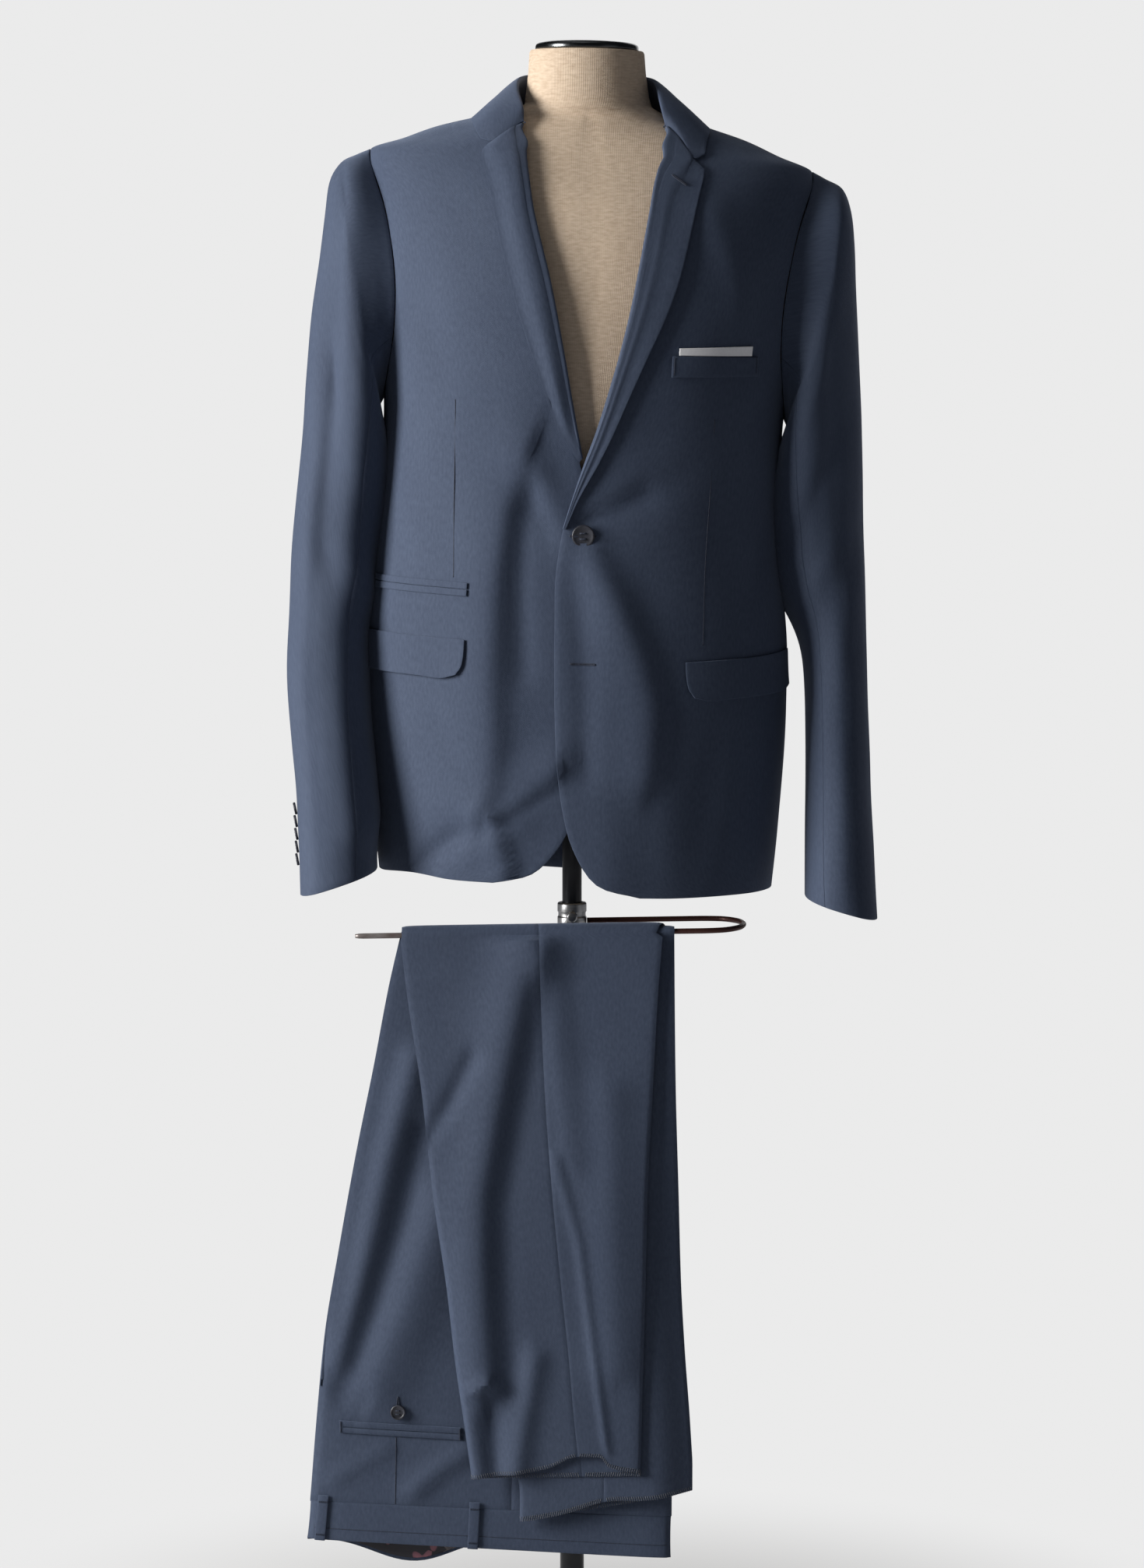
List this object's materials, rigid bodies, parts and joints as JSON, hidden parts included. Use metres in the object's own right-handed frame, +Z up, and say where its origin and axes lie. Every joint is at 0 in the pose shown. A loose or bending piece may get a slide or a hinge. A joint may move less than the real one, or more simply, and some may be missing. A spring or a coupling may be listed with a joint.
{
  "type": "two-piece suit on a dress form",
  "caption": "Single-breasted navy suit jacket on a linen-covered limbless dress form, with its trousers folded over the stand's trouser bar.",
  "frame": {"origin": "centre of the round base's underside, on the floor", "axes": "+Z up along the pole, -Y the front of the jacket, +X the wearer's left"},
  "size_m": [0.5389, 0.36, 1.5484],
  "materials": {
    "wool": "fine navy suiting with a soft sheen",
    "linen": "natural linen weave",
    "square": "white folded cloth",
    "print": "dark cloth printed with flowers",
    "horn": "dark horn-like button",
    "nickel": "satin nickel",
    "bronze": "dark red-brown lacquered metal",
    "black": "black enamelled steel"
  },
  "bodies": {
    "root": {"back_left": "wool", "back_pocket_button_left": "horn", "back_pocket_button_right": "horn", "back_pocket_jet_left_1": "wool", "back_pocket_jet_left_2": "wool", "back_pocket_jet_right_1": "wool", "back_pocket_jet_right_2": "wool", "back_right": "wool", "bar_clamp": "nickel", "base_boss": "black", "base_plate": "black", "belt_loop_left_1": "wool", "belt_loop_left_2": "wool", "belt_loop_right_1": "wool", "belt_loop_right_2": "wool", "breast_welt": "wool", "clamp_screw": "nickel", "collar": "wool", "cuff_button_left_1": "horn", "cuff_button_left_2": "horn", "cuff_button_left_3": "horn", "cuff_button_left_4": "horn", "cuff_button_left_5": "horn", "cuff_button_right_1": "horn", "cuff_button_right_2": "horn", "cuff_button_right_3": "horn", "cuff_button_right_4": "horn", "cuff_button_right_5": "horn", "dress_form": "linen", "front_button": "horn", "front_left": "wool", "front_right": "wool", "lapel_left": "wool", "lapel_right": "wool", "lower_front_button": "horn", "lower_tube": "black", "neck_cap": "nickel", "pocket_flap_left": "wool", "pocket_flap_right": "wool", "pocket_square": "square", "side_panel_left": "wool", "side_panel_right": "wool", "ticket_pocket_lower_jet": "wool", "ticket_pocket_upper_jet": "wool", "top_sleeve_left": "wool", "top_sleeve_right": "wool", "trouser_bar": "bronze", "trouser_left_back": "wool", "trouser_left_front": "wool", "trouser_right_back": "wool", "trouser_right_front": "wool", "under_sleeve_left": "wool", "under_sleeve_right": "wool", "upper_rod": "black", "waistband_left": "wool", "waistband_lining": "print", "waistband_right": "wool"}
  },
  "joints": []
}
